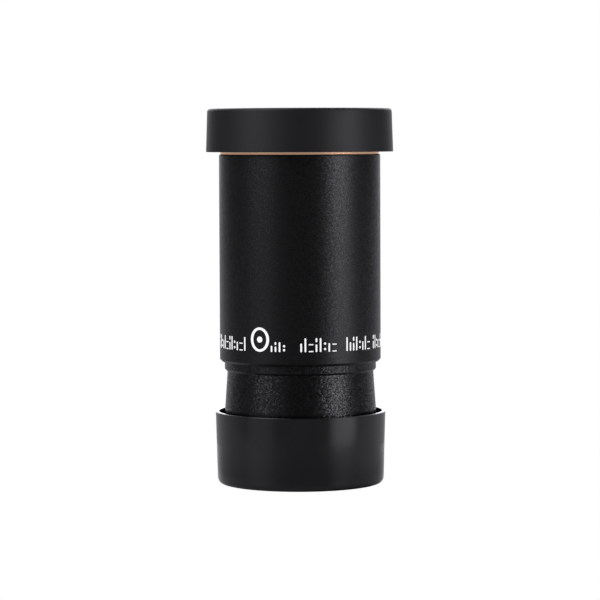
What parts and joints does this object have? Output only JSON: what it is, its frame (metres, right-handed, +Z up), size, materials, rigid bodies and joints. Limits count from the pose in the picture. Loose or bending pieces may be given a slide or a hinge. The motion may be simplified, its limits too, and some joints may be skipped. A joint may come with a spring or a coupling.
{
  "type": "telescope eyepiece",
  "caption": "Black tubular telescope eyepiece with a standard undercut nose, folded rubber eyecup, orange accent ring and two pull-off dust caps.",
  "frame": {"origin": "centre of the flat underside of the barrel cap, on the surface that the eyepiece stands on", "axes": "+Z up along the optical axis, from the nose towards the eye; +X to the right and +Y away from the viewer"},
  "size_m": [0.039, 0.039, 0.0784],
  "materials": {
    "anodised_black": "bead-blasted black anodising, satin with a fine sparkle",
    "anodised_orange": "orange-bronze anodising, turned, satin",
    "inner_black": "matt black anodising inside the optical path",
    "eyecup_rubber": "soft matt black rubber",
    "eye_cap_plastic": "soft black plastic, matt",
    "barrel_cap_plastic": "moulded black plastic, semi-gloss",
    "lens_glass": "polished optical glass with a green anti-reflection tint",
    "lens_edge": "optical glass inside the sealed groups"
  },
  "bodies": {
    "eyepiece": {"eyecup": "eyecup_rubber", "eye_end_collar": "anodised_black", "accent_ring": "anodised_orange", "housing": "anodised_black", "lens_barrel": "inner_black", "eye_lens_retainer": "inner_black", "eye_lens": "lens_glass", "middle_lens": "lens_glass", "lens_spacer": "inner_black", "pair_crown": "lens_glass", "pair_flint": "lens_edge", "pair_retainer": "inner_black", "barrel_lock_ring": "inner_black", "field_stop": "inner_black", "glare_baffle": "inner_black", "nose_barrel": "anodised_black", "smyth_cell": "inner_black", "smyth_crown": "lens_glass", "smyth_flint": "lens_edge", "smyth_retainer": "inner_black"},
    "eye_cap_body": {"eye_cap": "eye_cap_plastic"},
    "barrel_cap_body": {"barrel_cap": "barrel_cap_plastic"}
  },
  "joints": [
    {"name": "eye_cap_off", "type": "slide", "parent": "eyepiece", "child": "eye_cap_body", "axis": [0, 0, 1], "range_m": [0, 0.03]},
    {"name": "barrel_cap_off", "type": "slide", "parent": "eyepiece", "child": "barrel_cap_body", "axis": [0, 0, -1], "range_m": [0, 0.045]}
  ]
}
